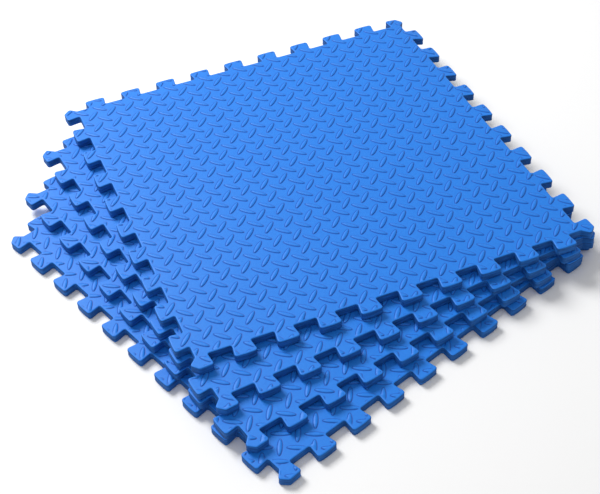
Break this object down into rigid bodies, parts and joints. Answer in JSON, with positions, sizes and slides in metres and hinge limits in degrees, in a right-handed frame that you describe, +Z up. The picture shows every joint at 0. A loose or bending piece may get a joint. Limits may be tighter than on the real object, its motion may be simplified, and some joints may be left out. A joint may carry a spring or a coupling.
{
  "type": "interlocking blocking mats",
  "caption": "Fanned pile of square foam blocking mats with dovetail puzzle teeth on every side and a raised tread pattern, each mat lifting off the one below.",
  "frame": {"origin": "centre of the bottom mat's underside, on the floor", "axes": "+Z up, through the pile; X and Y along the bottom mat's edges, with the fan's pivot near the +X -Y corner"},
  "size_m": [0.7863, 0.7668, 0.056],
  "materials": {
    "foam": "matt closed-cell foam with a soft sheen"
  },
  "bodies": {
    "bottom_mat": {"bottom_mat": "foam"},
    "second_mat": {"second_mat": "foam"},
    "third_mat": {"third_mat": "foam"},
    "top_mat": {"top_mat": "foam"}
  },
  "joints": [
    {"name": "second_mat_lift", "type": "slide", "parent": "bottom_mat", "child": "second_mat", "axis": [0, 0, 1], "range_m": [0, 0.06]},
    {"name": "third_mat_lift", "type": "slide", "parent": "second_mat", "child": "third_mat", "axis": [0, 0, 1], "range_m": [0, 0.06]},
    {"name": "top_mat_lift", "type": "slide", "parent": "third_mat", "child": "top_mat", "axis": [0, 0, 1], "range_m": [0, 0.06]}
  ]
}
